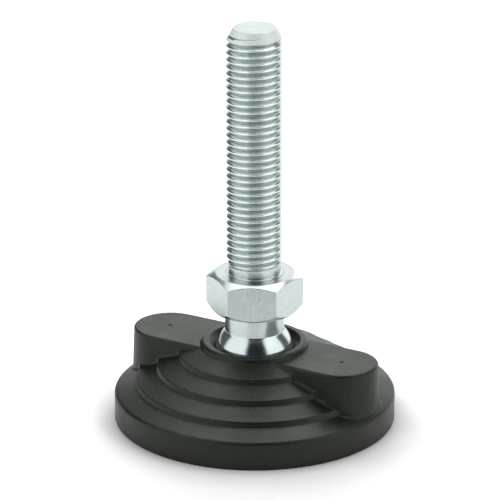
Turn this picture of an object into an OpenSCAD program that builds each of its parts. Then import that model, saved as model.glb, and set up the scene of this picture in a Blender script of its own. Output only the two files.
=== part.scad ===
// Swivel levelling foot: a stepped moulded base with two drill-out lugs,
// and a one-piece threaded stem whose ball end snaps into the base.
// Millimetres. The origin is the middle of the underside, +Z is up, the lugs lie along X.

/* [Stud] */
// Nominal diameter of the thread
stud_d = 16; // [12:1:18]
// Length of the stud above the hexagon
stud_len = 72; // [40:1:150]
// Pitch of the thread, which sets the blank diameter that the relief shows
thread_pitch = 2; // [1.5:0.25:2.5]
// Height of the plain relief between the hexagon and the thread
relief_len = 2.4; // [1:0.1:5]
// Diameter of the flat face at the tip
tip_d = 11.8; // [8:0.1:11.8]
// Angle between the tip's chamfer and the axis
tip_angle = 30; // [20:1:60]

/* [Hexagon] */
// Width of the hexagon across its flats
hex_af = 24; // [22:1:32]
// Height of the hexagon
hex_h = 11; // [7:0.1:20]
// Diameter of the round face that the upper chamfer leaves
hex_top_face_d = 22.2; // [19:0.1:24]
// Diameter of the round face that the lower chamfer leaves
hex_bottom_face_d = 23.2; // [19:0.1:24]
// Slope of the upper chamfer from the level
hex_top_slope = 30; // [15:1:40]
// Slope of the lower chamfer from the level
hex_bottom_slope = 40; // [15:1:45]
// Turn of the hexagon about the stem
hex_turn = 26; // [0:1:59]

/* [Neck and ball] */
// Diameter of the ball
ball_d = 23; // [21:0.1:24]
// Diameter of the flat where the ball was parted from the bar
ball_flat_d = 7; // [3:0.5:12]
// Diameter of the neck between the ball and the hexagon
neck_d = 16.8; // [12:0.1:18]
// Height of the hexagon's lower face over the ball's centre
hex_rise = 14; // [12:0.1:30]

/* [Socket and collar] */
// Running gap between the ball and its seat
ball_gap = 0.05; // [0.02:0.01:0.1]
// How much smaller in radius the snap lip is than the ball
lip_grip = 0.2; // [0.1:0.05:0.4]
// Height of the straight land of the snap lip
lip_land = 0.4; // [0.2:0.1:0.6]
// Depth of the ball's centre below the top of the collar
ball_drop = 4.5; // [4:0.1:8]
// Inner diameter of the collar at its top
collar_in_d = 26.2; // [25.4:0.1:27]
// Outer diameter of the collar where it meets the first terrace
collar_out_d = 31; // [30:0.1:33]
// Height of the collar over the first terrace
collar_rise = 1.5; // [1.4:0.1:4]
// Edge radius on the outside of the collar
collar_edge_r = 1.2; // [0.3:0.1:1.3]
// Edge radius on the inside of the collar
collar_mouth_r = 0.3; // [0.1:0.1:0.5]

/* [Base] */
// Diameter of the base
base_d = 80; // [78:1:110]
// Height of the rim at its sharp corner
rim_h = 8.1; // [6.5:0.1:14]
// Edge radius at the top of the rim
rim_edge_r = 1.2; // [0.3:0.1:2]
// Edge radius where the rim meets the floor
foot_edge_r = 0.5; // [0.2:0.1:1]
// Number of risers between the rim and the collar
riser_count = 3; // [1:1:3]
// Distance from one riser to the next
step_pitch = 6.2; // [5:0.1:6.5]
// Height of each riser
riser_h = 1.6; // [1:0.1:3]
// Lean of each riser from foot to top
riser_lean = 0.35; // [0.1:0.05:0.8]
// Slope of the terraces from the level
terrace_slope = 20.5; // [15:0.5:28]
// Radius in the foot of each riser and on its top edge
step_edge_r = 0.4; // [0.2:0.05:0.5]

/* [Lugs] */
// Radius of a lug's round end at its top
lug_r = 10.3; // [8.5:0.1:12]
// Ledge left between a lug's end and the outside of the base
lug_margin = 1.5; // [1:0.1:4]
// Depth of the lugs' flat tops below the top of the collar
lug_drop = 1.3; // [0.5:0.1:1.3]
// Draft of the lugs' walls
lug_draft = 2.2; // [1:0.1:3]
// Radius on the top edge of the lugs
lug_edge_r = 0.6; // [0.3:0.1:1.5]
// Diameter of the fixing holes that open from below
hole_d = 9; // [6:0.5:10]
// Skin left over each fixing hole until it is drilled out
hole_skin = 1.5; // [1:0.1:3]
// Diameter of the drill mark on each lug
mark_d = 1.4; // [0.8:0.1:3]
// Depth of the drill mark
mark_depth = 0.5; // [0.2:0.1:0.9]

/* [Underside] */
// Wall thickness of the moulding
wall = 3; // [2:0.1:3.4]
// Thickness of the ribs
rib_t = 2.2; // [1.5:0.1:2.6]
// Number of ribs between the cup and the rim
rib_count = 8; // [6:2:12]
// Radius of the middle of the ring rib
ring_r = 25.5; // [23:0.1:28]
// Number of ribs under the seat
seat_rib_count = 4; // [3:1:6]
// Radius of the hub under the seat
hub_r = 3.5; // [2.5:0.1:5]
// Wall round each fixing hole
boss_wall = 2.8; // [2:0.1:3.5]

/* [Hidden] */
$fn = 96;
// Straight pieces in each rounded corner of an outline
corner_steps = 2;
// How far a cut runs past the face that it opens, and a joined form into its neighbour
past = 1;

base_r = base_d / 2;
ball_r = ball_d / 2;
seat_r = ball_r + ball_gap;
collar_in_r = collar_in_d / 2;
collar_out_r = collar_out_d / 2;

// The terraces climb inwards from the rim: each riser's foot is a run of slope in from the last top edge
step_run = step_pitch - riser_lean;
step_rise = step_run * tan(terrace_slope) + riser_h;
foot_r = [for (i = [0 : riser_count - 1]) base_r - step_run - i * step_pitch];
foot_z = [for (i = [0 : riser_count - 1]) rim_h + step_run * tan(terrace_slope) + i * step_rise];
last_r = foot_r[riser_count - 1] - riser_lean;
last_z = foot_z[riser_count - 1] + riser_h;
collar_foot_z = last_z + (last_r - collar_out_r) * tan(terrace_slope);
collar_z = collar_foot_z + collar_rise;

// The socket and the stem hang from the collar
ball_z = collar_z - ball_drop;
lip_r = ball_r - lip_grip;
lip_z = ball_z + sqrt(seat_r * seat_r - lip_r * lip_r) + lip_land;
hex_z = ball_z + hex_rise;
stud_z = hex_z + hex_h;
tip_len = (stud_d - tip_d) / 2 / tan(tip_angle);
// A rolled thread starts from a blank of the pitch diameter
blank_d = stud_d - 0.6495 * thread_pitch;

// The lugs
lug_z = collar_z - lug_drop;
lug_x = base_r - lug_margin - lug_r;
// The lug bar starts inside the rim's height, where the terraces hide its foot
lug_root_z = rim_h / 2;
lug_root_r = lug_r + (lug_z - lug_root_z) * tan(lug_draft);

// The inside follows the outside one wall further in
shell_in = wall;
shell_down = (wall - shell_in * sin(terrace_slope)) / cos(terrace_slope);
cup_r = seat_r + wall;
boss_r = hole_d / 2 + boss_wall;

function unit(v) = v / norm(v);

// The arc that rounds the corner p between its neighbours a and b
function corner(a, p, b, r) =
    let (
        u = unit(a - p),
        w = unit(b - p),
        half = acos(u * w) / 2,
        start = p + u * r / tan(half),
        centre = p + unit(u + w) * r / sin(half),
        from = start - centre,
        side = cross(u, w) > 0 ? -1 : 1,
        sweep = side * (180 - 2 * half)
    )
    [for (i = [0 : corner_steps])
        let (t = sweep * i / corner_steps)
        centre + [from.x * cos(t) - from.y * sin(t), from.x * sin(t) + from.y * cos(t)]];

function xy(p) = [p.x, p.y];

// An outline of [x, y, corner radius] points, with each corner rounded
function rounded(path) =
    let (n = len(path))
    [for (i = [0 : n - 1])
        let (p = path[i])
        each p.z == 0
            ? [xy(p)]
            : corner(xy(path[(i + n - 1) % n]), xy(p), xy(path[(i + 1) % n]), p.z)];

// The staircase from the rim to the last top edge, moved in and down by a wall for the inside
function stairs(in, down, edge_r) = [
    for (i = [0 : riser_count - 1]) each [
        [foot_r[i] - in, foot_z[i] - down, edge_r],
        [foot_r[i] - riser_lean - in, foot_z[i] + riser_h - down, edge_r]
    ]
];

// Outer form of the base: rim, terraces, collar and the mouth of the socket
module base_form() {
    rotate_extrude()
        polygon(rounded(concat(
            [[0, 0, 0], [base_r, 0, foot_edge_r], [base_r, rim_h, rim_edge_r]],
            stairs(0, 0, step_edge_r),
            [[collar_out_r, collar_foot_z, step_edge_r]],
            [[collar_out_r - riser_lean, collar_z, collar_edge_r]],
            [[collar_in_r, collar_z, collar_mouth_r]],
            [[lip_r, lip_z, 0], [lip_r, ball_z, 0], [0, ball_z, 0]]
        )));
}

// Half section of a bar with drafted walls, a rounded top edge and its foot at the root height
function bar_half(root_r, top_r, top_z, edge_r) = rounded([
    [0, lug_root_z, 0], [root_r, lug_root_z, 0], [top_r, top_z, edge_r], [0, top_z, 0]
]);

// A bar with round ends that runs through both lugs
module lug_bar(root_r, top_r, top_z, edge_r) {
    half = bar_half(root_r, top_r, top_z, edge_r);
    count = len(half);
    mirrored = [for (i = [count - 1 : -1 : 1]) [-half[i].x, half[i].y]];
    translate([-lug_x, 0, 0]) rotate([90, 0, 90])
        linear_extrude(2 * lug_x) polygon(concat(half, mirrored));
    for (side = [0, 180])
        rotate([0, 0, side]) translate([lug_x, 0, 0]) rotate([0, 0, -90])
            rotate_extrude(angle = 180) polygon(half);
}

// Both lugs, which stop in the middle of the collar's wall
module lugs() {
    difference() {
        lug_bar(lug_root_r, lug_r, lug_z, lug_edge_r);
        cylinder(h = collar_z, r = (collar_in_r + collar_out_r) / 2);
    }
}

module at_lugs() {
    for (side = [-1, 1]) translate([side * lug_x, 0, 0]) children();
}

// Radial ribs from one radius to another
module ribs(count, turn, inner, outer) {
    for (i = [0 : count - 1])
        rotate([0, 0, turn + i * 360 / count])
            translate([inner, -rib_t / 2, -2 * past]) cube([outer - inner, rib_t, collar_z]);
}

// The space under the terraces, open below
module cavity() {
    rotate_extrude()
        polygon(rounded(concat(
            [[0, -past, 0], [base_r - wall, -past, 0], [base_r - wall, rim_h - shell_down, 0]],
            stairs(shell_in, shell_down, 0),
            [[cup_r, last_z - shell_down + (last_r - shell_in - cup_r) * tan(terrace_slope), 0]],
            [[0, ball_z, 0]]
        )));
    lug_bar(lug_root_r - wall, lug_r - wall, lug_z - wall, 0);
}

// Pockets between the cup, the ribs, the ring rib, the hole bosses and the rim
module pockets() {
    difference() {
        cavity();
        translate([0, 0, -2 * past]) cylinder(h = collar_z, r = cup_r);
        at_lugs() translate([0, 0, -2 * past]) cylinder(h = collar_z, r = boss_r);
        ribs(rib_count, 180 / rib_count, cup_r - past, base_r);
        translate([0, 0, -2 * past]) difference() {
            cylinder(h = collar_z, r = ring_r + rib_t / 2);
            cylinder(h = collar_z, r = ring_r - rib_t / 2);
        }
    }
}

// Pockets under the seat, which leave a level wall under it on a hub and ribs
module seat_pockets() {
    difference() {
        translate([0, 0, -past]) cylinder(h = ball_z + past, r = cup_r - wall);
        translate([0, 0, ball_z - cup_r]) cylinder(h = cup_r, r = cup_r);
        translate([0, 0, -2 * past]) cylinder(h = ball_z, r = hub_r);
        ribs(seat_rib_count, 180 / rib_count, 0, cup_r);
    }
}

module fixing_holes() {
    at_lugs() {
        translate([0, 0, -past]) cylinder(h = lug_z - hole_skin + past, r = hole_d / 2);
        translate([0, 0, lug_z - mark_depth])
            cylinder(h = 2 * mark_depth, r1 = 0, r2 = mark_d);
    }
}

// Moulded base with the seat, the snap lip, both lugs and the ribs below
module base() {
    color([0.2, 0.2, 0.19])
        difference() {
            union() {
                base_form();
                lugs();
            }
            translate([0, 0, ball_z]) sphere(r = seat_r);
            pockets();
            seat_pockets();
            fixing_holes();
        }
}

// Hexagon bar turned to a cone at both ends
module hexagon() {
    hex_r = hex_af / 2 / cos(30);
    top_r = hex_top_face_d / 2;
    bottom_r = hex_bottom_face_d / 2;
    reach = hex_r + past;
    intersection() {
        rotate([0, 0, hex_turn]) cylinder(h = hex_h, r = hex_r, $fn = 6);
        rotate_extrude() polygon([
            [0, 0],
            [bottom_r, 0],
            [reach, (reach - bottom_r) * tan(hex_bottom_slope)],
            [reach, hex_h - (reach - top_r) * tan(hex_top_slope)],
            [top_r, hex_h],
            [0, hex_h]
        ]);
    }
}

// Ball with its parting flat, cut off level below
module ball() {
    flat_z = -sqrt(ball_r * ball_r - ball_flat_d * ball_flat_d / 4);
    difference() {
        sphere(r = ball_r);
        translate([0, 0, flat_z - ball_r]) cylinder(h = ball_r, r = ball_r);
    }
}

// Relief, thread at its outer diameter, and the tip's chamfer; its foot stands in the hexagon
module stud() {
    rotate_extrude() polygon([
        [0, -past],
        [blank_d / 2, -past],
        [blank_d / 2, relief_len],
        [stud_d / 2, relief_len],
        [stud_d / 2, stud_len - tip_len],
        [tip_d / 2, stud_len],
        [0, stud_len]
    ]);
}

// Stem turned in one piece: ball, neck, hexagon, relief and stud
module stem() {
    color([0.78, 0.8, 0.81])
        union() {
            translate([0, 0, ball_z]) ball();
            translate([0, 0, ball_z]) cylinder(h = hex_rise + past, r = neck_d / 2);
            translate([0, 0, hex_z]) hexagon();
            translate([0, 0, stud_z]) stud();
        }
}

base();
stem();
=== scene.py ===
"""Looks of the swivel levelling foot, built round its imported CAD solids.

Lengths are millimetres and become metres where a mesh or a pattern is made. The frame is the
CAD part's: the origin is the middle of the underside, +Z is up and the lugs lie along X.
"""
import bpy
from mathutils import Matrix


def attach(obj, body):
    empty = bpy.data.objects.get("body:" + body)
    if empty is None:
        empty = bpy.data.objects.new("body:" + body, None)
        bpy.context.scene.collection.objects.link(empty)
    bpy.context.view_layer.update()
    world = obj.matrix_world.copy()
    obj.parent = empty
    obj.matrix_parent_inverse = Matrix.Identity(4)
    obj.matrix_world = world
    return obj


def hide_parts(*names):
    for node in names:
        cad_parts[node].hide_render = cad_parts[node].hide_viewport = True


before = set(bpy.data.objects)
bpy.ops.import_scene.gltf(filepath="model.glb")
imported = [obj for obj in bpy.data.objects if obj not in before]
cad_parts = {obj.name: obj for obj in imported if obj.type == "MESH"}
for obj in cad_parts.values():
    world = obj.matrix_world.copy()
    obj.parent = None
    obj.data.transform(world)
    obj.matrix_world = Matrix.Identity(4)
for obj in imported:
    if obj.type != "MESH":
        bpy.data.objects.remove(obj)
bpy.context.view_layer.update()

import bmesh
import bpy
import numpy as np
from mathutils import Vector

MM = 0.001
# Points closer together than this are one point
MERGE_GAP = 0.002

# Sizes of the base, named and worked out as in the CAD source
BASE_R = 40
RIM_H = 8.1
RIM_EDGE_R = 1.2
FOOT_EDGE_R = 0.5
RISER_COUNT = 3
STEP_PITCH = 6.2
RISER_H = 1.6
RISER_LEAN = 0.35
TERRACE_SLOPE = np.tan(np.radians(20.5))
STEP_EDGE_R = 0.4
COLLAR_IN_R = 13.1
COLLAR_OUT_R = 15.5
COLLAR_RISE = 1.5
COLLAR_EDGE_R = 1.2
COLLAR_MOUTH_R = 0.3
SEAT_R = 11.55
LIP_R = 11.3
LIP_LAND = 0.4
LIP_EDGE_R = 0.1
LUG_R = 10.3
LUG_X = 28.2
LUG_DROP = 1.3
LUG_DRAFT = 2.2
LUG_EDGE_R = 0.6
LUG_ROOT_Z = RIM_H / 2
MARK_R = 0.7
MARK_DEPTH = 0.5
MARK_EDGE_R = 0.08
STEP_RUN = STEP_PITCH - RISER_LEAN
STEP_RISE = STEP_RUN * TERRACE_SLOPE + RISER_H
LAST_R = BASE_R - RISER_COUNT * STEP_PITCH
COLLAR_FOOT_Z = RIM_H + RISER_COUNT * STEP_RISE + (LAST_R - COLLAR_OUT_R) * TERRACE_SLOPE
COLLAR_Z = COLLAR_FOOT_Z + COLLAR_RISE
LUG_Z = COLLAR_Z - LUG_DROP

# Fillets that the mould has where a lug meets the terraces and the collar
LUG_FILLET_R = 0.8
COLLAR_FILLET_R = 0.25
# The collar's fillet grows into the lug's between these radii, which shrinks to a share of
# itself between the next two, over the rim's edge, and ends between these heights
FILLET_GROWS = (16, 18)
FILLET_SHRINKS = (37.6, 39.2)
FILLET_AT_RIM = 0.25
FILLET_ENDS = (6, 8)

# The fan of lines that finds the skin: where it starts inside the base, the lengths between
# which the skin lies, how often that is halved, and its widest step in degrees
FAN_R = 5
FAN_Z = 5
FAN_REACH = (8, 48)
FAN_HALVINGS = 20
FAN_STEP = 0.62
# More lines over a drill mark: their half width and count, and the least gap in degrees
MARK_FAN_HALF = 0.95
MARK_FAN_COUNT = 15
MARK_FAN_GAP = 0.08
# Columns over a quarter turn from the lugs' line, as (first degree, last degree, count): fine
# over the drill mark, finer along the lug's side than over its end, and coarse past it
QUARTER_BANDS = [(0, 1.6, 8), (1.6, 13, 12), (13, 27, 28), (27, 45, 28), (45, 90, 18)]
# Distance over which the skin's slope is taken
SLOPE_STEP = 0.03

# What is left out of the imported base's underside: the rim's outside within this width, and
# the socket above this height and within this radius. The rest is drawn in by this much at
# its edge
RIM_SKIN_W = 2
SOCKET_FLOOR_Z = 15
SOCKET_REACH = SEAT_R + 0.1
UNDERSIDE_INSET = 1.2
# How far packed faces and corners may lie off the level or the circle that they belong to
PACKED_GAP = 0.02
# Steps down the seat
SEAT_STEPS = 15
# Edges of the base that turn by more than these degrees stay sharp
SHARP_TURN = 28

# Sizes of the stem, as in the CAD source
BALL_DROP = 4.5
BALL_Z = COLLAR_Z - BALL_DROP
BALL_R = 11.5
BALL_FLAT_R = 3.5
NECK_R = 8.4
HEX_AF = 24
HEX_RISE = 14
HEX_Z = BALL_Z + HEX_RISE
HEX_H = 11
HEX_TOP_FACE_R = 11.1
HEX_BOTTOM_FACE_R = 11.6
HEX_TOP_SLOPE = 30
HEX_BOTTOM_SLOPE = 40
HEX_TURN = 26
HEX_CORNER_R = 0.35
STUD_LEN = 72
STUD_Z = HEX_Z + HEX_H
STUD_TOP_Z = STUD_Z + STUD_LEN
RELIEF_R = 7.35
RELIEF_LEN = 2.4
TIP_R = 5.9
TIP_ANGLE = 30
# Turns on the ball, from its level middle, at which its arc begins and ends
BALL_LOW_TURN = -np.arccos(BALL_FLAT_R / BALL_R)
BALL_HIGH_TURN = np.arccos(NECK_R / BALL_R)
NECK_Z = BALL_Z + BALL_R * np.sin(BALL_HIGH_TURN)
BALL_STEPS = 31
# Columns over one flat of the hexagon, and over one corner
FLAT_STEPS = 16
CORNER_STEPS = 4

# The rolled thread: coarse pitch, crests a little under the nominal radius, and half the
# width of a thread at that radius, plate and all
PITCH = 2.0
NOMINAL_R = 8.0
CREST_R = 7.95
THREAD_HALF_W = 0.17
ROOT_R = 6.77
# Widths over which the flanks blend into the crest, the root and the tip's cone
CREST_BLEND = 0.12
ROOT_BLEND = 0.35
TIP_BLEND = 0.08
# Length over which the thread grows out of the relief
FADE_LEN = 1.7
# Height of one crest over the X axis, less whole pitches, as the photo's crests stand
THREAD_PHASE = 1.36
# Places of the rows from a crest to the root, as shares of half a pitch: close together on
# the crest and in the root, where the line bends
THREAD_SHARES = [0, 0.14, 0.2, 0.27, 0.5, 0.7, 0.81, 0.9]

# Finishes of the stem, in the order of its materials
TURNED, DRAWN, ROLLED, FACED, CHAMFERED = range(5)
# A face is upright below the first of these rises of its normal, and level above the second
UPRIGHT_RISE = 0.3
LEVEL_RISE = 0.95
# How far the middle of a face may lie from the stud's end, inside the hexagon's flats, below
# the hexagon and inside the tip's cone, and the length of the tip that the cone is sought on
END_GAP = 0.01
FLAT_GAP = 0.2
HEX_GAP = 0.1
CONE_GAP = 0.06
CONE_SPAN = 5


def smooth_step(value, span):
    """0 before the span, 1 past it, and the cubic 3v2 - 2v3 of the share v in between."""
    share = np.clip((value - span[0]) / (span[1] - span[0]), 0, 1)
    return share * share * (3 - 2 * share)


def smooth_min(a, b, width):
    """The lesser of two lengths, blended by a parabola where they differ by less than width."""
    share = np.clip(0.5 + 0.5 * (b - a) / width, 0, 1)
    return b + (a - b) * share - width * share * (1 - share)


def merged_mesh(name, points, quads, materials):
    """A closed piece from points in millimetres and four corners a face: doubles are merged,
    faces that have shrunk to nothing go, and the shading is smooth and weighted by area."""
    mesh = bpy.data.meshes.new(name)
    mesh.from_pydata((points * MM).tolist(), [], quads.tolist())
    skin = bmesh.new()
    skin.from_mesh(mesh)
    bmesh.ops.remove_doubles(skin, verts=skin.verts, dist=MERGE_GAP * MM)
    bmesh.ops.dissolve_degenerate(skin, edges=skin.edges, dist=MERGE_GAP * MM)
    bmesh.ops.recalc_face_normals(skin, faces=skin.faces)
    skin.to_mesh(mesh)
    skin.free()
    piece = bpy.data.objects.new(name, mesh)
    bpy.context.scene.collection.objects.link(piece)
    mesh.shade_smooth()
    weighted = piece.modifiers.new("weighted_normals", "WEIGHTED_NORMAL")
    weighted.keep_sharp = True
    weighted.weight = 100
    for material in materials:
        mesh.materials.append(material)
    return piece


def ring(radius, z, count):
    """A row of a turned grid: one radius and height in each of its columns."""
    return np.tile([float(radius), float(z)], (count, 1))


def lathe_quads(rows, columns):
    """Four corners of each cell of a grid whose columns run once round the axis."""
    index = np.arange(rows * columns).reshape(rows, columns)
    right = np.roll(index, -1, axis=1)
    return np.stack([index[:-1], right[:-1], right[1:], index[1:]], axis=-1).reshape(-1, 4)


def helix_quads(rows, columns, per_pitch):
    """Four corners of each cell of a grid along a helix. Past the last column a row goes on
    in the first column, a pitch of rows further up, because it has risen by that in a turn."""
    index = np.arange(rows * columns).reshape(rows, columns)
    inner = np.stack([index[:-1, :-1], index[:-1, 1:], index[1:, 1:], index[1:, :-1]], axis=-1)
    seam = np.stack([
        index[:-per_pitch - 1, -1], index[per_pitch:-1, 0], index[per_pitch + 1:, 0],
        index[1:-per_pitch, -1]], axis=-1)
    return np.concatenate([inner.reshape(-1, 4), seam])


def rounded_rows(corners, sizes, steps=3):
    """Rows of a profile whose corners are rounded. corners holds (radius, height) for each
    corner and column. A corner becomes a parabola that leaves each leg at the corner's size
    from it, or at half the leg if that is less."""
    rows = []
    for k, size in enumerate(sizes):
        corner = corners[k]
        if size == 0:
            rows.append(corner[None])
            continue
        before = corners[k - 1] - corner
        after = corners[k + 1] - corner
        before_len = np.linalg.norm(before, axis=-1, keepdims=True)
        after_len = np.linalg.norm(after, axis=-1, keepdims=True)
        start = before * np.minimum(size / before_len, 0.5)
        end = after * np.minimum(size / after_len, 0.5)
        t = np.linspace(0, 1, steps + 1)[:, None, None]
        rows.append(corner + start * (1 - t) ** 2 + end * t ** 2)
    return np.concatenate(rows)


def hexagon_columns():
    """Angles of the columns once round the stem, in rising order, and the rounded hexagon's
    radius at each. On a flat it is the apothem over the cosine of the angle from the flat's
    middle. On a corner it is where the line from the axis leaves the corner's circle."""
    apothem = HEX_AF / 2
    inner = apothem - HEX_CORNER_R
    tangent = np.arctan(inner * np.tan(np.pi / 6) / apothem)
    flat = np.linspace(-tangent, tangent, FLAT_STEPS + 1)
    arc = np.linspace(tangent, np.pi / 3 - tangent, CORNER_STEPS + 1)[1:-1]
    centre = inner / np.cos(np.pi / 6)
    off = arc - np.pi / 6
    arc_r = centre * np.cos(off) + np.sqrt(HEX_CORNER_R ** 2 - (centre * np.sin(off)) ** 2)
    sector = np.concatenate([flat, arc])
    sector_r = np.concatenate([apothem / np.cos(flat), arc_r])
    start = np.radians(HEX_TURN + 30)
    angles = np.concatenate([sector + start + k * np.pi / 3 for k in range(6)]) % (2 * np.pi)
    order = np.argsort(angles)
    return angles[order], np.tile(sector_r, 6)[order]


def thread_radius(offset):
    """Radius of the thread at a distance along the axis from the nearest crest: a line of the
    60 degree flank, blended into the crest above and the root below."""
    distance = np.abs((offset / PITCH + 0.5) % 1 - 0.5) * PITCH
    flank = NOMINAL_R - (distance - THREAD_HALF_W) * np.tan(np.pi / 3)
    crested = smooth_min(flank, CREST_R, CREST_BLEND)
    return -smooth_min(-crested, -ROOT_R, ROOT_BLEND)


def thread_rows(angles):
    """Rows of the thread along its helix, as (radius, height), and how many make a pitch. A
    row keeps its distance from the crest and rises by the pitch in one turn. Rows past either
    end lie on that end's circle. The thread grows out of the relief below, and the cone of
    the tip cuts it above."""
    half = np.array(THREAD_SHARES)
    phases = np.concatenate([half, [1.0], 2 - half[:0:-1]]) / 2
    low = STUD_Z + RELIEF_LEN
    high = STUD_TOP_Z
    turns = int(np.ceil((high - low) / PITCH)) + 3
    along = (np.arange(turns)[:, None] + phases[None]).reshape(-1) * PITCH
    start = THREAD_PHASE + PITCH * np.floor((low - THREAD_PHASE) / PITCH - 2)
    raw = start + along[:, None] + PITCH * angles[None] / (2 * np.pi)
    z = np.clip(raw, low, high)
    radius = thread_radius(np.broadcast_to(along[:, None], raw.shape))
    radius = RELIEF_R + (radius - RELIEF_R) * smooth_step(z, (low, low + FADE_LEN))
    cone = TIP_R + (high - z) * np.tan(np.radians(TIP_ANGLE))
    radius = np.where(z >= high, TIP_R, smooth_min(radius, cone, TIP_BLEND))
    return np.stack([radius, z], axis=-1), len(phases)


def shank_rows(hexagon):
    """Rows of the stem below its thread, as (radius, height): the parting flat, the arc of
    the ball, the neck, the hexagon between the cones of its chamfers, and the relief. The
    second value of each row is the size that its corner is rounded by."""
    count = len(hexagon)
    sweep = np.linspace(BALL_LOW_TURN, BALL_HIGH_TURN, BALL_STEPS + 1)[1:-1]
    flat_z = BALL_Z + BALL_R * np.sin(BALL_LOW_TURN)
    top_edge_z = STUD_Z - (hexagon - HEX_TOP_FACE_R) * np.tan(np.radians(HEX_TOP_SLOPE))
    foot_edge_z = HEX_Z + (hexagon - HEX_BOTTOM_FACE_R) * np.tan(np.radians(HEX_BOTTOM_SLOPE))
    table = [
        (ring(0, flat_z, count), 0),
        (ring(BALL_FLAT_R, flat_z, count), 0.2),
        *[(ring(BALL_R * np.cos(a), BALL_Z + BALL_R * np.sin(a), count), 0) for a in sweep],
        (ring(NECK_R, NECK_Z, count), 0.25),
        (ring(NECK_R, HEX_Z, count), 0.4),
        (ring(HEX_BOTTOM_FACE_R, HEX_Z, count), 0.15),
        (np.stack([hexagon, foot_edge_z], axis=-1), 0.15),
        (np.stack([hexagon, top_edge_z], axis=-1), 0.18),
        (ring(HEX_TOP_FACE_R, STUD_Z, count), 0.15),
        (ring(RELIEF_R, STUD_Z, count), 0.3),
        (ring(RELIEF_R, STUD_Z + RELIEF_LEN, count), 0),
    ]
    return rounded_rows(np.array([row for row, _ in table]), [size for _, size in table])


def finish_faces(stem):
    """Give each face of the stem its finish: drawn on the bar's flats, rolled on the thread,
    chamfered on the sloping faces of the hexagon and the tip's cone, faced on the level faces
    of the hexagon and at the stud's end, and turned on the rest."""
    faces = stem.data.polygons
    middle = np.zeros(len(faces) * 3)
    facing = np.zeros(len(faces) * 3)
    faces.foreach_get("center", middle)
    faces.foreach_get("normal", facing)
    x, y, z = middle.reshape(-1, 3).T / MM
    rise = np.abs(facing.reshape(-1, 3)[:, 2])
    reach = np.hypot(x, y)
    at_end = z > STUD_TOP_Z - END_GAP
    on_flat = (reach > HEX_AF / 2 - FLAT_GAP) & (z > HEX_Z) & (rise < UPRIGHT_RISE)
    on_thread = (z > STUD_Z + RELIEF_LEN) & ~at_end
    cone = TIP_R + (STUD_TOP_Z - z) * np.tan(np.radians(TIP_ANGLE))
    on_cone = (z > STUD_TOP_Z - CONE_SPAN) & (reach > cone - CONE_GAP)
    off_upright = (z > HEX_Z - HEX_GAP) & (z < STUD_Z + END_GAP) & (rise >= UPRIGHT_RISE)
    sloping = on_cone | (off_upright & (rise < LEVEL_RISE))
    kinds = np.select(
        [sloping, off_upright | at_end, on_thread, on_flat],
        [CHAMFERED, FACED, ROLLED, DRAWN], TURNED)
    faces.foreach_set("material_index", kinds.tolist())


def stem_piece(materials):
    """The stem as one turned skin from the parting flat under the ball to the stud's end: a
    row of (radius, height) for each place along it, at a column for each angle."""
    angles, hexagon = hexagon_columns()
    count = len(angles)
    shank = shank_rows(hexagon)
    thread, per_pitch = thread_rows(angles)
    end = np.stack([
        ring(TIP_R, STUD_TOP_Z, count), ring(TIP_R / 2, STUD_TOP_Z, count),
        ring(0, STUD_TOP_Z, count)])
    radius, z = np.moveaxis(np.concatenate([shank, thread, end]), -1, 0)
    points = np.stack([radius * np.cos(angles), radius * np.sin(angles), z], axis=-1)
    thread_start = len(shank) * count
    end_start = thread_start + len(thread) * count
    quads = np.concatenate([
        lathe_quads(len(shank), count),
        helix_quads(len(thread), count, per_pitch) + thread_start,
        lathe_quads(len(end), count) + end_start])
    stem = merged_mesh("turned_stem", points.reshape(-1, 3), quads, materials)
    finish_faces(stem)
    return stem


def arc_points(before, corner, after, radius, steps):
    """Points of the arc of a radius that rounds a corner between its two neighbours: its
    centre lies on the line that halves the corner's angle, and the arc starts at the foot of
    the centre on the first leg."""
    a = (before - corner) / np.linalg.norm(before - corner)
    b = (after - corner) / np.linalg.norm(after - corner)
    half = np.arccos(np.clip(a @ b, -1, 1)) / 2
    middle = (a + b) / np.linalg.norm(a + b)
    centre = corner + middle * radius / np.sin(half)
    start = corner + a * radius / np.tan(half) - centre
    side = -1 if a[0] * b[1] - a[1] * b[0] > 0 else 1
    turn = side * (np.pi - 2 * half) * np.linspace(0, 1, steps + 1)
    return centre + np.stack([
        start[0] * np.cos(turn) - start[1] * np.sin(turn),
        start[0] * np.sin(turn) + start[1] * np.cos(turn)], axis=-1)


def rounded_line(table):
    """A line of (radius, height, corner radius, steps) with its corners rounded by arcs."""
    corners = np.array([row[:2] for row in table], float)
    parts = []
    for k, (_, _, radius, steps) in enumerate(table):
        if radius == 0:
            parts.append(corners[k][None])
        else:
            parts.append(arc_points(corners[k - 1], corners[k], corners[k + 1], radius, steps))
    return np.concatenate(parts)


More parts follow.
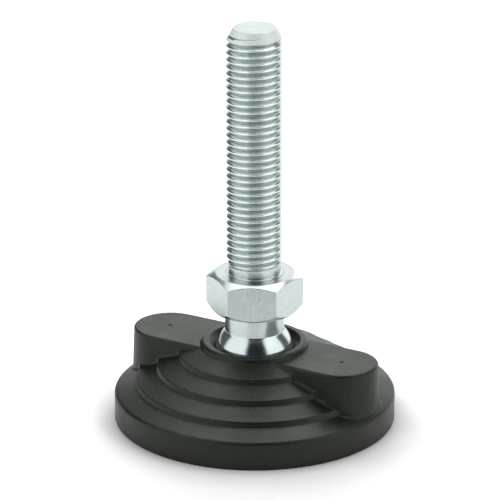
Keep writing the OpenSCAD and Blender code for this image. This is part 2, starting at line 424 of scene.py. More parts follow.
def base_sections():
    """The revolved outline of the base in two lines: from the foot to the collar's top, and
    from there down the socket to its bottom."""
    table = [(0, 0, 0, 0), (BASE_R, 0, FOOT_EDGE_R, 4), (BASE_R, RIM_H, RIM_EDGE_R, 8)]
    for k in range(RISER_COUNT):
        foot_r = BASE_R - STEP_RUN - k * STEP_PITCH
        foot_z = RIM_H + STEP_RUN * TERRACE_SLOPE + k * STEP_RISE
        table.append((foot_r, foot_z, STEP_EDGE_R, 5))
        table.append((foot_r - RISER_LEAN, foot_z + RISER_H, STEP_EDGE_R, 5))
    table.append((COLLAR_OUT_R, COLLAR_FOOT_Z, STEP_EDGE_R, 5))
    table.append((COLLAR_OUT_R - RISER_LEAN, COLLAR_Z, COLLAR_EDGE_R, 10))
    flat_r = (COLLAR_OUT_R - RISER_LEAN - COLLAR_EDGE_R + COLLAR_IN_R) / 2
    outer = rounded_line(table + [(flat_r, COLLAR_Z, 0, 0)])[1:]
    lip_z = BALL_Z + np.sqrt(SEAT_R ** 2 - LIP_R ** 2)
    inner = rounded_line([
        (flat_r, COLLAR_Z, 0, 0), (COLLAR_IN_R, COLLAR_Z, COLLAR_MOUTH_R, 5),
        (LIP_R, lip_z + LIP_LAND, LIP_EDGE_R, 2), (LIP_R, lip_z, 0, 0)])
    sink = np.linspace(np.arccos(LIP_R / SEAT_R), -np.pi / 2, SEAT_STEPS + 1)
    seat = np.stack([SEAT_R * np.cos(sink), BALL_Z + SEAT_R * np.sin(sink)], axis=-1)[1:]
    return outer, np.concatenate([inner, seat])


def outline_distance(r, z, outline):
    """Signed distance to a closed outline: the least distance to any side, negative inside,
    where a level ray outwards crosses an odd number of sides."""
    a = outline
    b = np.roll(outline, -1, axis=0)
    side = b - a
    pr = r[..., None] - a[:, 0]
    pz = z[..., None] - a[:, 1]
    along = np.clip((pr * side[:, 0] + pz * side[:, 1]) / (side ** 2).sum(axis=1), 0, 1)
    gap = np.hypot(pr - along * side[:, 0], pz - along * side[:, 1]).min(axis=-1)
    spans = (a[:, 1] > z[..., None]) != (b[:, 1] > z[..., None])
    rise = np.where(side[:, 1] == 0, 1, side[:, 1])
    crosses = spans & (pr < pz * side[:, 0] / rise)
    return np.where(crosses.sum(axis=-1) % 2 == 1, -gap, gap)


def round_join(a, b, radius):
    """The union of two distances, with a fillet of a radius where they meet."""
    over_a = np.maximum(radius - a, 0)
    over_b = np.maximum(radius - b, 0)
    return np.maximum(radius, np.minimum(a, b)) - np.hypot(over_a, over_b)


def round_common(a, b, radius):
    """The common part of two distances, with its edge rounded to a radius."""
    return -round_join(-a, -b, radius)


def base_field(r, z, turn, outline):
    """Distance to the outside of the base: the revolved outline joined by a fillet to the bar
    of the two lugs, less the two drill marks. The bar's distance comes from the line between
    the lugs' middles, with drafted walls and a rounded top edge. A mark is a cone."""
    body = outline_distance(r, z, outline)
    x = r * np.abs(np.cos(turn))
    y = r * np.sin(turn)
    draft = np.radians(LUG_DRAFT)
    reach = np.hypot(np.maximum(x - LUG_X, 0), y)
    wall = (reach - LUG_R - (LUG_Z - z) * np.tan(draft)) * np.cos(draft)
    bar = np.maximum(round_common(wall, z - LUG_Z, LUG_EDGE_R), LUG_ROOT_Z - z)
    fillet = COLLAR_FILLET_R + (LUG_FILLET_R - COLLAR_FILLET_R) * smooth_step(r, FILLET_GROWS)
    fillet = fillet * (1 - (1 - FILLET_AT_RIM) * smooth_step(r, FILLET_SHRINKS))
    solid = round_join(body, bar, fillet * smooth_step(z, FILLET_ENDS))
    cone = np.arctan(MARK_R / MARK_DEPTH)
    mark = (np.hypot(x - LUG_X, y) - MARK_R - (z - LUG_Z) * np.tan(cone)) * np.cos(cone)
    return round_common(solid, -mark, MARK_EDGE_R)


def fan_slopes(outer):
    """Angles of the fan's lines: one to each point of the revolved outline, more between them
    so that none is wider than the step, and more again over the drill marks."""
    own = np.degrees(np.arctan2(outer[:, 1] - FAN_Z, outer[:, 0] - FAN_R))
    parts = np.maximum(np.ceil(np.diff(own) / FAN_STEP - 1e-6).astype(int), 1)
    filled = np.concatenate([
        np.linspace(low, high, n, endpoint=False) for low, high, n in zip(own, own[1:], parts)])
    over_mark = np.linspace(LUG_X - MARK_FAN_HALF, LUG_X + MARK_FAN_HALF, MARK_FAN_COUNT)
    marks = np.degrees(np.arctan2(LUG_Z - FAN_Z, over_mark - FAN_R))
    marks = marks[np.abs(marks[:, None] - filled).min(axis=1) > MARK_FAN_GAP]
    return np.radians(np.sort(np.concatenate([filled, own[-1:], marks])))


def quarter_turns():
    """Angles of the columns over one quarter turn from the lugs' line, both ends included."""
    bands = [np.linspace(first, last, n, endpoint=False) for first, last, n in QUARTER_BANDS]
    return np.radians(np.concatenate([*bands, [90]]))


def whole_turn(quarter):
    """Rows over a quarter turn mirrored in X, and that half mirrored in Y, each without the
    columns that it shares with what it is mirrored from."""
    half = np.concatenate([quarter, (quarter * [-1, 1, 1])[:, -2::-1]], axis=1)
    return np.concatenate([half, (half * [1, -1, 1])[:, -2:0:-1]], axis=1)


def base_skin():
    """Points of the base's outside, row by row from the foot to the bottom of the socket, and
    the outward normals of the rows that the fan found. Each line of the fan is halved until
    it meets the skin, and a normal is the slope of the distance there."""
    outer, inner = base_sections()
    slopes = fan_slopes(outer)[:, None]
    turns = quarter_turns()[None]
    outline = np.concatenate([outer, [[0, outer[-1, 1]], [0, 0]]])
    near = np.full((slopes.size, turns.size), float(FAN_REACH[0]))
    far = np.full_like(near, FAN_REACH[1])
    for _ in range(FAN_HALVINGS):
        middle = (near + far) / 2
        r = FAN_R + middle * np.cos(slopes)
        z = FAN_Z + middle * np.sin(slopes)
        inside = base_field(r, z, turns, outline) < 0
        near = np.where(inside, middle, near)
        far = np.where(inside, far, middle)
    r = FAN_R + far * np.cos(slopes)
    z = FAN_Z + far * np.sin(slopes)
    x, y = r * np.cos(turns), r * np.sin(turns)

    def field_at(dx, dy, dz):
        """The distance at a number of steps along each axis from the skin's points."""
        px, py = x + dx * SLOPE_STEP, y + dy * SLOPE_STEP
        return base_field(np.hypot(px, py), z + dz * SLOPE_STEP, np.arctan2(py, px), outline)

    normal = np.stack([
        field_at(1, 0, 0) - field_at(-1, 0, 0), field_at(0, 1, 0) - field_at(0, -1, 0),
        field_at(0, 0, 1) - field_at(0, 0, -1)], axis=-1)
    normal /= np.linalg.norm(normal, axis=-1, keepdims=True)
    socket_r = inner[1:, 0, None]
    socket_z = np.repeat(inner[1:, 1, None], turns.size, axis=1)
    socket = np.stack([socket_r * np.cos(turns), socket_r * np.sin(turns), socket_z], axis=-1)
    points = np.concatenate([np.stack([x, y, z], axis=-1), socket])
    return whole_turn(points), whole_turn(normal)


def ring_strip(outer_turns, inner_turns):
    """Triangles between two rings of corners that are sorted by angle. Both rings' angles are
    put in one order; each corner in it makes a triangle with the corner before it on its own
    ring and the last corner before it on the other ring. Outer corners are numbered first."""
    outer_count = len(outer_turns)
    inner_count = len(inner_turns)
    order = np.argsort(np.concatenate([outer_turns, inner_turns]), kind="stable")
    from_outer = order < outer_count
    outer_now = (np.cumsum(from_outer) - 1) % outer_count
    inner_now = (np.cumsum(~from_outer) - 1) % inner_count + outer_count
    outer_before = (outer_now - 1) % outer_count
    inner_before = (inner_now - outer_count - 1) % inner_count + outer_count
    by_outer = np.stack([outer_before, outer_now, inner_now], axis=-1)
    by_inner = np.stack([outer_now, inner_now, inner_before], axis=-1)
    return np.where(from_outer[:, None], by_outer, by_inner)


def merged_triangles(node):
    """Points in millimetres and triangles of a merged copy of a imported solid."""
    skin = bmesh.new()
    skin.from_mesh(node.data)
    bmesh.ops.remove_doubles(skin, verts=skin.verts, dist=MERGE_GAP * MM)
    bmesh.ops.dissolve_degenerate(skin, edges=skin.edges, dist=MERGE_GAP * MM)
    bmesh.ops.triangulate(skin, faces=skin.faces)
    copy = bpy.data.meshes.new("merged_copy")
    skin.to_mesh(copy)
    skin.free()
    points = np.zeros(len(copy.vertices) * 3)
    triangles = np.zeros(len(copy.polygons) * 3, int)
    copy.vertices.foreach_get("co", points)
    copy.polygons.foreach_get("vertices", triangles)
    bpy.data.meshes.remove(copy)
    return points.reshape(-1, 3) / MM, triangles.reshape(-1, 3)


def turns_of(points):
    """Angles of points round the axis, from 0 to a whole turn."""
    return np.arctan2(points[:, 1], points[:, 0]) % (2 * np.pi)


def underside_of(node):
    """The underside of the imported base: every face that doesn't look up, less the rim's
    outside and the socket. Returns its points, its triangles and the corners of the circle
    where it met the outside, sorted by angle. The circle is drawn in a little, so that a
    strip of real width joins it to the skin."""
    points, triangles = merged_triangles(node)
    corners = points[triangles]
    facing = np.cross(corners[:, 1] - corners[:, 0], corners[:, 2] - corners[:, 0])
    facing /= np.maximum(np.linalg.norm(facing, axis=1, keepdims=True), 1e-12)
    middle = corners.mean(axis=1)
    middle_r = np.hypot(middle[:, 0], middle[:, 1])
    on_ground = corners[:, :, 2].max(axis=1) < PACKED_GAP
    rim = (middle_r > BASE_R - RIM_SKIN_W) & ~on_ground
    socket = (middle_r < SOCKET_REACH) & (middle[:, 2] > SOCKET_FLOOR_Z)
    looks_up = facing[:, 2] > 0.01
    triangles = triangles[~looks_up & ~rim & ~socket]
    used, triangles = np.unique(triangles, return_inverse=True)
    points = points[used]
    edge_r = BASE_R - FOOT_EDGE_R
    edge = np.nonzero(np.hypot(points[:, 0], points[:, 1]) > edge_r - PACKED_GAP)[0]
    edge = edge[np.argsort(turns_of(points[edge]))]
    points[edge, :2] *= (edge_r - UNDERSIDE_INSET) / edge_r
    return points, triangles.reshape(-1, 3), edge


def base_piece(material):
    """The moulding as one closed skin: the fan's outside, the rings of the socket, and the
    packed base's own underside, joined at the foot by a flat strip. The fan's corners keep
    the normals of the form itself, the others those of their smooth faces."""
    points, normals = base_skin()
    rows, columns = points.shape[:2]
    pole = (rows - 1) * columns
    last = np.arange(columns) + pole - columns
    cap = np.stack([last, np.roll(last, -1), np.full(columns, pole)], axis=-1)
    skin_points = points.reshape(-1, 3)[:pole + 1]
    under_points, under_triangles, edge = underside_of(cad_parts["base"])
    foot = np.concatenate([np.arange(columns), edge + len(skin_points)])
    strip = foot[ring_strip(turns_of(points[0]), turns_of(under_points[edge]))][:, ::-1]
    triangles = np.concatenate([cap, under_triangles + len(skin_points), strip])

    mesh = bpy.data.meshes.new("moulded_base")
    all_points = np.concatenate([skin_points, under_points])
    faces = lathe_quads(rows - 1, columns).tolist() + triangles.tolist()
    mesh.from_pydata((all_points * MM).tolist(), [], faces)
    mesh.shade_smooth()
    mesh.set_sharp_from_angle(angle=float(np.radians(SHARP_TURN)))
    corner_normals = np.zeros(len(mesh.loops) * 3)
    corner_points = np.zeros(len(mesh.loops), int)
    mesh.corner_normals.foreach_get("vector", corner_normals)
    mesh.loops.foreach_get("vertex_index", corner_points)
    corner_normals = corner_normals.reshape(-1, 3)
    fan_normals = normals.reshape(-1, 3)
    # The foot's row keeps the normals of its faces, because it bounds the flat underside
    by_fan = (corner_points < len(fan_normals)) & (corner_points >= columns)
    corner_normals[by_fan] = fan_normals[corner_points[by_fan]]
    mesh.normals_split_custom_set(corner_normals.tolist())
    mesh.materials.append(material)
    piece = bpy.data.objects.new("moulded_base", mesh)
    bpy.context.scene.collection.objects.link(piece)
    return piece


# A noise keeps mostly to this span of its values
NOISE_SPAN = {"From Min": 0.35, "From Max": 0.65}
# Sizes of the patterns. The lathe's real rings are 0.1 mm apart and the mould's real grain is
# 0.1 mm across, which is too fine to show, so both are drawn as coarse as they need to show
PLATE_CLOUD = 4
TURNED_RING = 0.2
FACED_RING = 0.3
BAR_STREAK = 0.6
THREAD_MOTTLE = 0.5
MOULD_GRAIN = 0.5
MOULD_CLOUD = 9
FIBRE_SPECK = 0.5
# Width of a streak on the bar over its length
STREAK_SHAPE = 0.3
# Heights of the bumps
TURNED_DEPTH = 0.004
FACED_DEPTH = 0.006
STREAK_DEPTH = 0.012
MOTTLE_DEPTH = 0.0005
GRAIN_DEPTH = 0.09
# Roughness of the polished ball and of the burnished crests, and the polyamide's IOR
BALL_ROUGH = 0.17
CREST_ROUGH = 0.17
POLYAMIDE_IOR = 1.46

# Share of white added to the open floor for the camera, and for metal and gloss
FLOOR_FILL = 0.38
MIRROR_FILL = 0.12
# Radii between which the floor passes from painted shade to filled up, as metal and gloss see it
MIRROR_SPAN = (50, 75)
# Painted shade on the floor out of view in front, as metal and gloss see it: the radii between
# which it begins and ends, the turns from the camera's direction between which it ends, and its
# level
UNLIT_BEGINS = (85, 125)
UNLIT_ENDS = (150, 180)
UNLIT_TURN = (22, 34)
UNLIT_LEVEL = 0.12
# Painted shadow: the fill that the camera sees is cut within this reach where the base hides the
# open sky, so the base's shadow on the floor is painted deeper. The share of open sky passes
# from full shadow to none between these values, once it is raised by the lean: by nothing in
# front of the base, and by the most behind it, so the painted shadow is deepest in front
SHADOW_REACH = 40
SHADOW_SPAN = (0.9, 1.06)
SHADOW_LEAN = 0.34
# Half the side of the floor
FLOOR_HALF = 3000

# The camera that the photo's measured points fit: the height on the axis that it aims at, its
# distance, its turn from the front and its rise in degrees, its lens and its shift
CAMERA_AIM_Z = 50.2
CAMERA_DISTANCE = 1000
CAMERA_TURN = 30.07
CAMERA_RISE = 20.5
CAMERA_LENS = 255.55
CAMERA_SHIFT = -0.0094

# The studio's level of light by direction from the camera, in degrees to its right: low
# down, half way up, and overhead. Round the horizon there is a dark gap at the camera, a
# softbox each side, a dark gap past each softbox, and the white backdrop. The softboxes
# reach half way up and the backdrop fades there, below a broad softbox over its top edge.
LOW_LIGHT = [
    (-180, 1.4), (-168, 1.3), (-160, 0.12), (-108, 0.1), (-100, 1.1), (-32, 1.1), (-24, 0.02),
    (34, 0.02), (42, 1.2), (94, 1.2), (101, 0.1), (124, 0.12), (132, 1.2), (180, 1.4)]
MIDDLE_LIGHT = [
    (-180, 1.0), (-157, 1.0), (-150, 0.12), (-108, 0.1), (-100, 1.1), (-32, 1.1), (-24, 0.02),
    (34, 0.02), (42, 1.2), (94, 1.2), (101, 0.1), (148, 0.12), (156, 1.0), (180, 1.0)]
OVERHEAD_LIGHT = [
    (-180, 4.5), (-156, 4.3), (-143, 1.2), (-118, 0.8), (-100, 1.1), (-42, 1.0), (-24, 0.1),
    (34, 0.1), (50, 1.0), (100, 1.4), (118, 1.7), (143, 2.3), (156, 4.3), (180, 4.5)]
ZENITH_LIGHT = 1.9
# Sines of the elevations between which each level passes into the next one up
MIDDLE_FROM = (0.48, 0.56)
OVERHEAD_FROM = (0.74, 0.82)
ZENITH_FROM = (0.962, 0.98)
# The light's cast, which the photo's greys show
LIGHT_CAST = (0.96, 1.0, 0.98, 1)


def linear(hex_colour):
    """The linear RGBA of an sRGB hex colour: v / 12.92 up to 0.04045, and past it the power
    2.4 of (v + 0.055) / 1.055."""
    value = np.array([int(hex_colour[i:i + 2], 16) for i in (1, 3, 5)]) / 255
    value = np.where(value <= 0.04045, value / 12.92, ((value + 0.055) / 1.055) ** 2.4)
    return (*value.tolist(), 1.0)


def add_node(tree, kind, inputs=None, settings=None):
    """A node of a kind with its settings, values and links. An input is a value or a socket."""
    node = tree.nodes.new(kind)
    for key, value in (settings or {}).items():
        setattr(node, key, value)
    for key, value in (inputs or {}).items():
        socket = node.inputs[key]
        if isinstance(value, bpy.types.NodeSocket):
            tree.links.new(value, socket)
        else:
            socket.default_value = value
    return node


def new_material(name):
    """A new material, its node tree, and the place on the piece, which is all that it holds."""
    material = bpy.data.materials.new(name)
    material.use_nodes = True
    tree = material.node_tree
    tree.nodes.clear()
    return material, tree, add_node(tree, "ShaderNodeTexCoord").outputs["Object"]


def turned_place(tree, place):
    """A place as the lathe sees it: radius and height as a vector, so that what is drawn on
    it comes out as rings, and both by themselves."""
    parts = add_node(tree, "ShaderNodeSeparateXYZ", {"Vector": place})
    level = add_node(tree, "ShaderNodeCombineXYZ", {
        "X": parts.outputs["X"], "Y": parts.outputs["Y"]})
    radius = add_node(tree, "ShaderNodeVectorMath", {
        0: level.outputs["Vector"]}, {"operation": "LENGTH"}).outputs["Value"]
    height = parts.outputs["Z"]
    profile = add_node(tree, "ShaderNodeCombineXYZ", {"X": radius, "Y": height})
    return profile.outputs["Vector"], radius, height


def plate_cloud(tree, place):
    """The cloudy patches that barrel plating leaves."""
    cloud = add_node(tree, "ShaderNodeTexNoise", {
        "Vector": place, "Scale": 1 / (PLATE_CLOUD * MM), "Detail": 3})
    return cloud.outputs["Fac"]


def plate_colour(tree, pattern, dull, bright):
    """Bright zinc with a clear blue passivate, which looks a faint green-blue grey, from a
    duller to a brighter shade by a pattern."""
    share = add_node(tree, "ShaderNodeMapRange", {"Value": pattern, **NOISE_SPAN})
    mix = add_node(tree, "ShaderNodeMix", {
        "Factor": share.outputs["Result"], 6: linear(dull), 7: linear(bright)},
        {"data_type": "RGBA"})
    return mix.outputs[2]


def plate(tree, colour, roughness, relief, depth):
    """The plated surface: metal of a colour and roughness, with a bump of a depth."""
    bump = add_node(tree, "ShaderNodeBump", {
        "Height": relief, "Strength": 1.0, "Distance": depth * MM})
    bsdf = add_node(tree, "ShaderNodeBsdfPrincipled", {
        "Base Color": colour, "Metallic": 1.0, "Roughness": roughness,
        "Normal": bump.outputs["Normal"]})
    add_node(tree, "ShaderNodeOutputMaterial", {"Surface": bsdf.outputs["BSDF"]})


def passing_rough(tree, cloud, share, before, after):
    """Roughness that wanders with the plate's patches, over one span of values where share is
    0 and over another where it is 1."""
    spans = [
        add_node(tree, "ShaderNodeMapRange", {
            "Value": cloud, "To Min": low, "To Max": high, **NOISE_SPAN}).outputs["Result"]
        for low, high in [before, after]]
    mix = add_node(tree, "ShaderNodeMix", {"Factor": share, "A": spans[0], "B": spans[1]})
    return mix.outputs["Result"]


def turned_zinc_steel():
    """Zinc-plated steel as turned. The polished ball mirrors the studio sharply. Fine rings
    on the neck and the relief draw its reflections out along the stem."""
    material, tree, place = new_material("turned_zinc_steel")
    cloud = plate_cloud(tree, place)
    profile, _, height = turned_place(tree, place)
    rings = add_node(tree, "ShaderNodeTexNoise", {
        "Vector": profile, "Scale": 1 / (TURNED_RING * MM), "Detail": 1})
    over_ball = add_node(tree, "ShaderNodeMapRange", {
        "Value": height, "From Min": NECK_Z * MM,
        "From Max": (NECK_Z + 0.3) * MM}).outputs["Result"]
    relief = add_node(tree, "ShaderNodeMath", {
        0: rings.outputs["Fac"], 1: over_ball}, {"operation": "MULTIPLY"})
    rough = passing_rough(tree, cloud, over_ball, (BALL_ROUGH, BALL_ROUGH), (0.24, 0.32))
    plate(tree, plate_colour(tree, cloud, "#D4DDDE", "#DFE8E9"), rough,
          relief.outputs["Value"], TURNED_DEPTH)
    return material


def drawn_zinc_steel():
    """Zinc-plated steel as the hexagon bar was drawn: dull flats with soft reflections, and
    short streaks up the bar with handling marks between them."""
    material, tree, place = new_material("drawn_zinc_steel")
    cloud = plate_cloud(tree, place)
    drawn = add_node(tree, "ShaderNodeMapping", {"Vector": place, "Scale": (1, 1, STREAK_SHAPE)})
    streaks = add_node(tree, "ShaderNodeTexNoise", {
        "Vector": drawn.outputs["Vector"], "Scale": 1 / (BAR_STREAK * MM),
        "Detail": 4}).outputs["Fac"]
    streak_rough = add_node(tree, "ShaderNodeMapRange", {
        "Value": streaks, "To Min": 0.3, "To Max": 0.4, **NOISE_SPAN})
    cloud_rough = add_node(tree, "ShaderNodeMapRange", {
        "Value": cloud, "To Min": -0.04, "To Max": 0.05, **NOISE_SPAN})
    rough = add_node(tree, "ShaderNodeMath", {
        0: streak_rough.outputs["Result"], 1: cloud_rough.outputs["Result"]},
        {"operation": "ADD"})
    plate(tree, plate_colour(tree, streaks, "#D5DEDF", "#E3ECED"), rough.outputs["Value"],
          streaks, STREAK_DEPTH)
    return material


def rolled_zinc_steel():
    """Zinc-plated steel as the thread was rolled: the dies burnish the crests, which are
    smoother and flash as bright lines. The colour is painted shade down in the grooves, darker
    towards the root, and a painted highlight on the crests, lighter than the rest of the plate."""
    material, tree, place = new_material("rolled_zinc_steel")
    _, radius, _ = turned_place(tree, place)
    mottle = add_node(tree, "ShaderNodeTexNoise", {
        "Vector": place, "Scale": 1 / (THREAD_MOTTLE * MM), "Detail": 2}).outputs["Fac"]
    crest = add_node(tree, "ShaderNodeMapRange", {
        "Value": radius, "From Min": (ROOT_R + 0.2) * MM,
        "From Max": (CREST_R - 0.05) * MM}).outputs["Result"]
    # Painted shade in the grooves, darker towards the root, and a painted highlight on the
    # crests, lighter than the rest of the plate
    groove_painted_shade = plate_colour(tree, plate_cloud(tree, place), "#B4C1C1", "#C3CFCF")
    colour = add_node(tree, "ShaderNodeMix", {
        "Factor": crest, 6: groove_painted_shade, 7: linear("#EEF5F5")}, {"data_type": "RGBA"})
    groove_rough = add_node(tree, "ShaderNodeMapRange", {
        "Value": mottle, "To Min": 0.3, "To Max": 0.38, **NOISE_SPAN})
    rough = add_node(tree, "ShaderNodeMix", {
        "Factor": crest, "A": groove_rough.outputs["Result"], "B": CREST_ROUGH})
    plate(tree, colour.outputs[2], rough.outputs["Result"], mottle, MOTTLE_DEPTH)
    return material


def faced_zinc_steel():
    """Zinc-plated steel as faced: fine rings round the stem give the hexagon's level faces a
    grey sheen, and these faces are drawn a darker grey than the stud's end as painted shade. The
    coarser cut leaves the stud's end almost matt."""
    material, tree, place = new_material("faced_zinc_steel")
    cloud = plate_cloud(tree, place)
    profile, _, height = turned_place(tree, place)
    rings = add_node(tree, "ShaderNodeTexNoise", {
        "Vector": profile, "Scale": 1 / (FACED_RING * MM), "Detail": 1}).outputs["Fac"]
    at_end = add_node(tree, "ShaderNodeMapRange", {
        "Value": height, "From Min": STUD_Z * MM,
        "From Max": (STUD_Z + 1) * MM}).outputs["Result"]
    # Painted shade: the hexagon's level faces are drawn darker than the stud's end
    colour = add_node(tree, "ShaderNodeMix", {
        "Factor": at_end, 6: plate_colour(tree, rings, "#AEB6B6", "#C9D0D0"),
        7: plate_colour(tree, cloud, "#CAD1D1", "#D6DCDC")}, {"data_type": "RGBA"})
    rough = passing_rough(tree, cloud, at_end, (0.26, 0.34), (0.5, 0.6))
    plate(tree, colour.outputs[2], rough, rings, FACED_DEPTH)
    return material


def chamfered_steel_painted_highlight():
    """Zinc-plated steel as chamfered, drawn lighter than the rest of the plate as a painted
    highlight, which stands for the light from overhead on the hexagon's chamfers. It is rougher
    on the cone of the tip."""
    material, tree, place = new_material("chamfered_steel_painted_highlight")
    cloud = plate_cloud(tree, place)
    profile, _, height = turned_place(tree, place)
    rings = add_node(tree, "ShaderNodeTexNoise", {
        "Vector": profile, "Scale": 1 / (FACED_RING * MM), "Detail": 1})
    at_tip = add_node(tree, "ShaderNodeMapRange", {
        "Value": height, "From Min": STUD_Z * MM, "From Max": (STUD_Z + 1) * MM})
    rough = passing_rough(tree, cloud, at_tip.outputs["Result"], (0.26, 0.34), (0.62, 0.72))
    # Painted highlight: the plate here is drawn lighter than anywhere else on the stem
    plate(tree, plate_colour(tree, cloud, "#EDF2F2", "#F5F8F8"), rough,
          rings.outputs["Fac"], FACED_DEPTH)
    return material


def moulded_polyamide():
    """Black glass-filled polyamide as moulded. The mould's eroded grain makes it satin, the
    glass near the surface makes the sheen wander, and a few fibres show as lighter specks."""
    material, tree, place = new_material("moulded_polyamide")
    grain = add_node(tree, "ShaderNodeTexNoise", {
        "Vector": place, "Scale": 1 / (MOULD_GRAIN * MM), "Detail": 3})
    cloud = add_node(tree, "ShaderNodeTexNoise", {
        "Vector": place, "Scale": 1 / (MOULD_CLOUD * MM), "Detail": 2})
    fibre = add_node(tree, "ShaderNodeTexNoise", {
        "Vector": place, "Scale": 1 / (FIBRE_SPECK * MM), "Detail": 0})
    speck = add_node(tree, "ShaderNodeMapRange", {
        "Value": fibre.outputs["Fac"], "From Min": 0.74, "From Max": 0.8})
    colour = add_node(tree, "ShaderNodeMix", {
        "Factor": speck.outputs["Result"], 6: linear("#0C100A"), 7: linear("#2A2F26")},
        {"data_type": "RGBA"})
    rough = add_node(tree, "ShaderNodeMapRange", {
        "Value": cloud.outputs["Fac"], "To Min": 0.36, "To Max": 0.42, **NOISE_SPAN})
    bump = add_node(tree, "ShaderNodeBump", {
        "Height": grain.outputs["Fac"], "Strength": 1.0, "Distance": GRAIN_DEPTH * MM})
    bsdf = add_node(tree, "ShaderNodeBsdfPrincipled", {
        "Base Color": colour.outputs[2], "Roughness": rough.outputs["Result"],
        "IOR": POLYAMIDE_IOR, "Specular Tint": linear("#F5FFEC"),
        "Normal": bump.outputs["Normal"]})
    add_node(tree, "ShaderNodeOutputMaterial", {"Surface": bsdf.outputs["BSDF"]})
    return material


def camera_fill(tree, ahead):
    """What is added to the floor for the camera: the fill on open floor, and less of it where
    the base shades it, which paints the shadow deeper, most in front of the base. ahead is the
    cosine of the turn from the camera's direction."""
    sky = add_node(tree, "ShaderNodeAmbientOcclusion", {
        "Distance": SHADOW_REACH * MM}, {"samples": 8})
    # Painted shadow: the fill is cut where the base hides the sky, and more in front of the base
    # than behind it
    lean = add_node(tree, "ShaderNodeMapRange", {
        "Value": ahead, "From Min": -1, "From Max": 1, "To Min": SHADOW_LEAN, "To Max": 0})
    leant = add_node(tree, "ShaderNodeMath", {
        0: sky.outputs["AO"], 1: lean.outputs["Result"]}, {"operation": "ADD"})
    fill = add_node(tree, "ShaderNodeMapRange", {
        "Value": leant.outputs["Value"], "From Min": SHADOW_SPAN[0], "From Max": SHADOW_SPAN[1],
        "To Max": FLOOR_FILL})
    return fill.outputs["Result"]


def unlit_share(tree, ahead, reach):
    """1 on the painted shade of the floor in front and 0 off it: begun at one radius, not yet
    ended at another, and within a turn of the camera's direction."""
    inner, outer = np.cos(np.radians(UNLIT_TURN)).tolist()
    in_front = add_node(tree, "ShaderNodeMapRange", {
        "Value": ahead, "From Min": outer, "From Max": inner})
    begun = add_node(tree, "ShaderNodeMapRange", {
        "Value": reach, "From Min": UNLIT_BEGINS[0] * MM, "From Max": UNLIT_BEGINS[1] * MM})
    ended = add_node(tree, "ShaderNodeMapRange", {
        "Value": reach, "From Min": UNLIT_ENDS[0] * MM, "From Max": UNLIT_ENDS[1] * MM})
    between = add_node(tree, "ShaderNodeMath", {
        0: begun.outputs["Result"], 1: ended.outputs["Result"]}, {"operation": "SUBTRACT"})
    share = add_node(tree, "ShaderNodeMath", {
        0: in_front.outputs["Result"], 1: between.outputs["Value"]}, {"operation": "MULTIPLY"})
    return share.outputs["Value"]


def white_paper():
    """White paper: matt, and filled up to white for the camera so that only the object's shadow
    shows on it, painted deeper close round the base. Metal and gloss see the same white, but not
    the ring of painted shade close round the base, and the painted shade of the floor further in
    front."""
    material, tree, place = new_material("white_paper")
    path = add_node(tree, "ShaderNodeLightPath")
    turn = np.radians(CAMERA_TURN)
    reach = add_node(tree, "ShaderNodeVectorMath", {
        0: place}, {"operation": "LENGTH"}).outputs["Value"]
    forward = add_node(tree, "ShaderNodeVectorMath", {
        0: place, 1: (float(np.sin(turn)), float(-np.cos(turn)), 0)},
        {"operation": "DOT_PRODUCT"})
    ahead = add_node(tree, "ShaderNodeMath", {
        0: forward.outputs["Value"], 1: reach}, {"operation": "DIVIDE"}).outputs["Value"]
    # Painted shade: a ring close round the base is left unfilled for metal and gloss
    mirror_fill = add_node(tree, "ShaderNodeMapRange", {
        "Value": reach, "From Min": MIRROR_SPAN[0] * MM, "From Max": MIRROR_SPAN[1] * MM,
        "To Max": MIRROR_FILL})
    to_camera = add_node(tree, "ShaderNodeMath", {
        0: path.outputs["Is Camera Ray"], 1: camera_fill(tree, ahead)},
        {"operation": "MULTIPLY"})
    to_mirror = add_node(tree, "ShaderNodeMath", {
        0: path.outputs["Is Glossy Ray"], 1: mirror_fill.outputs["Result"]},
        {"operation": "MULTIPLY"})
    level = add_node(tree, "ShaderNodeMath", {
        0: to_camera.outputs["Value"], 1: to_mirror.outputs["Value"]}, {"operation": "ADD"})
    matt = add_node(tree, "ShaderNodeBsdfDiffuse", {"Color": linear("#F2EEF0")})
    fill = add_node(tree, "ShaderNodeEmission", {"Strength": level.outputs["Value"]})
    lit = add_node(tree, "ShaderNodeAddShader", {
        0: matt.outputs["BSDF"], 1: fill.outputs["Emission"]})
    # Painted shade: the floor in front is dark for metal and gloss
    unlit = add_node(tree, "ShaderNodeEmission", {"Strength": UNLIT_LEVEL})
    unlit_to_mirror = add_node(tree, "ShaderNodeMath", {
        0: unlit_share(tree, ahead, reach), 1: path.outputs["Is Glossy Ray"]},
        {"operation": "MULTIPLY"})
    paper = add_node(tree, "ShaderNodeMixShader", {
        "Fac": unlit_to_mirror.outputs["Value"], 1: lit.outputs["Shader"],
        2: unlit.outputs["Emission"]})
    add_node(tree, "ShaderNodeOutputMaterial", {"Surface": paper.outputs["Shader"]})
    return material


def light_round(tree, share, stops):
    """Grey levels over one turn, from stops of (degrees, level)."""
    ramp = add_node(tree, "ShaderNodeValToRGB", {"Fac": share})
    points = ramp.color_ramp.elements
    while len(points) < len(stops):
        points.new(0.5)
    for point, (degrees, level) in zip(points, stops):
        point.position = (degrees + 180) / 360
        point.color = (level, level, level, 1)
    return ramp.outputs["Color"]


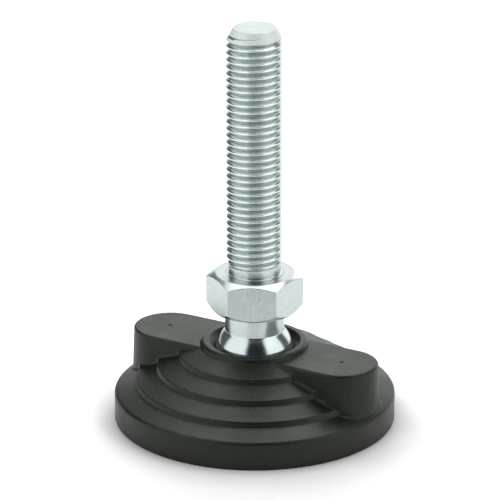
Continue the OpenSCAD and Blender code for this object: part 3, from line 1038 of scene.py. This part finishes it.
def studio_world():
    """The studio's light by direction: the turn from the camera gives a level in each of the
    three tables, and the sine of the elevation blends them from the horizon up to the zenith's
    one level. The camera sees plain white."""
    world = bpy.data.worlds.new("studio")
    bpy.context.scene.world = world
    world.use_nodes = True
    tree = world.node_tree
    tree.nodes.clear()
    direction = add_node(tree, "ShaderNodeTexCoord").outputs["Generated"]
    turned = add_node(tree, "ShaderNodeVectorRotate", {
        "Vector": direction, "Axis": (0, 0, 1), "Angle": float(np.radians(-CAMERA_TURN))},
        {"rotation_type": "AXIS_ANGLE"})
    parts = add_node(tree, "ShaderNodeSeparateXYZ", {"Vector": turned.outputs["Vector"]})
    towards = add_node(tree, "ShaderNodeMath", {
        0: parts.outputs["Y"], 1: -1.0}, {"operation": "MULTIPLY"})
    turn = add_node(tree, "ShaderNodeMath", {
        0: parts.outputs["X"], 1: towards.outputs["Value"]}, {"operation": "ARCTAN2"})
    share = add_node(tree, "ShaderNodeMapRange", {
        "Value": turn.outputs["Value"], "From Min": -float(np.pi),
        "From Max": float(np.pi)}).outputs["Result"]
    level = light_round(tree, share, LOW_LIGHT)
    zenith = (ZENITH_LIGHT, ZENITH_LIGHT, ZENITH_LIGHT, 1)
    for span, above in [(MIDDLE_FROM, light_round(tree, share, MIDDLE_LIGHT)),
                        (OVERHEAD_FROM, light_round(tree, share, OVERHEAD_LIGHT)),
                        (ZENITH_FROM, zenith)]:
        higher = add_node(tree, "ShaderNodeMapRange", {
            "Value": parts.outputs["Z"], "From Min": span[0], "From Max": span[1]})
        level = add_node(tree, "ShaderNodeMix", {
            "Factor": higher.outputs["Result"], 6: level, 7: above},
            {"data_type": "RGBA"}).outputs[2]
    cast = add_node(tree, "ShaderNodeMix", {
        "Factor": 1.0, 6: level, 7: LIGHT_CAST},
        {"data_type": "RGBA", "blend_type": "MULTIPLY"})
    light = add_node(tree, "ShaderNodeBackground", {"Color": cast.outputs[2]})
    white = add_node(tree, "ShaderNodeBackground", {"Color": (1, 1, 1, 1)})
    path = add_node(tree, "ShaderNodeLightPath")
    seen = add_node(tree, "ShaderNodeMixShader", {
        "Fac": path.outputs["Is Camera Ray"], 1: light.outputs["Background"],
        2: white.outputs["Background"]})
    add_node(tree, "ShaderNodeOutputWorld", {"Surface": seen.outputs["Shader"]})


def studio_floor():
    """A level square of white paper far larger than the view."""
    corners = np.array([[-1, -1, 0], [1, -1, 0], [1, 1, 0], [-1, 1, 0]]) * FLOOR_HALF
    mesh = bpy.data.meshes.new("floor")
    mesh.from_pydata((corners * MM).tolist(), [], [(0, 1, 2, 3)])
    mesh.materials.append(white_paper())
    floor = bpy.data.objects.new("floor", mesh)
    bpy.context.scene.collection.objects.link(floor)


def studio_camera():
    """The camera at its distance, turn and rise from the point on the axis that it aims at."""
    data = bpy.data.cameras.new("camera")
    data.sensor_width = 36
    data.lens = CAMERA_LENS
    data.shift_x = CAMERA_SHIFT
    data.clip_start = 0.1
    data.clip_end = 20
    camera = bpy.data.objects.new("camera", data)
    bpy.context.scene.collection.objects.link(camera)
    turn = np.radians(CAMERA_TURN)
    rise = np.radians(CAMERA_RISE)
    level = CAMERA_DISTANCE * np.cos(rise)
    away = Vector((level * np.sin(turn), -level * np.cos(turn), CAMERA_DISTANCE * np.sin(rise)))
    camera.location = (away + Vector((0, 0, CAMERA_AIM_Z))) * MM
    camera.rotation_euler = away.to_track_quat("Z", "Y").to_euler()
    bpy.context.scene.camera = camera


studio_camera()
studio_world()
studio_floor()
bpy.context.scene.view_settings.view_transform = "Standard"

stem = stem_piece([
    turned_zinc_steel(), drawn_zinc_steel(), rolled_zinc_steel(), faced_zinc_steel(),
    chamfered_steel_painted_highlight()])
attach(stem, "spindle")
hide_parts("stem")

base = base_piece(moulded_polyamide())
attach(base, "foot")
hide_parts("base")
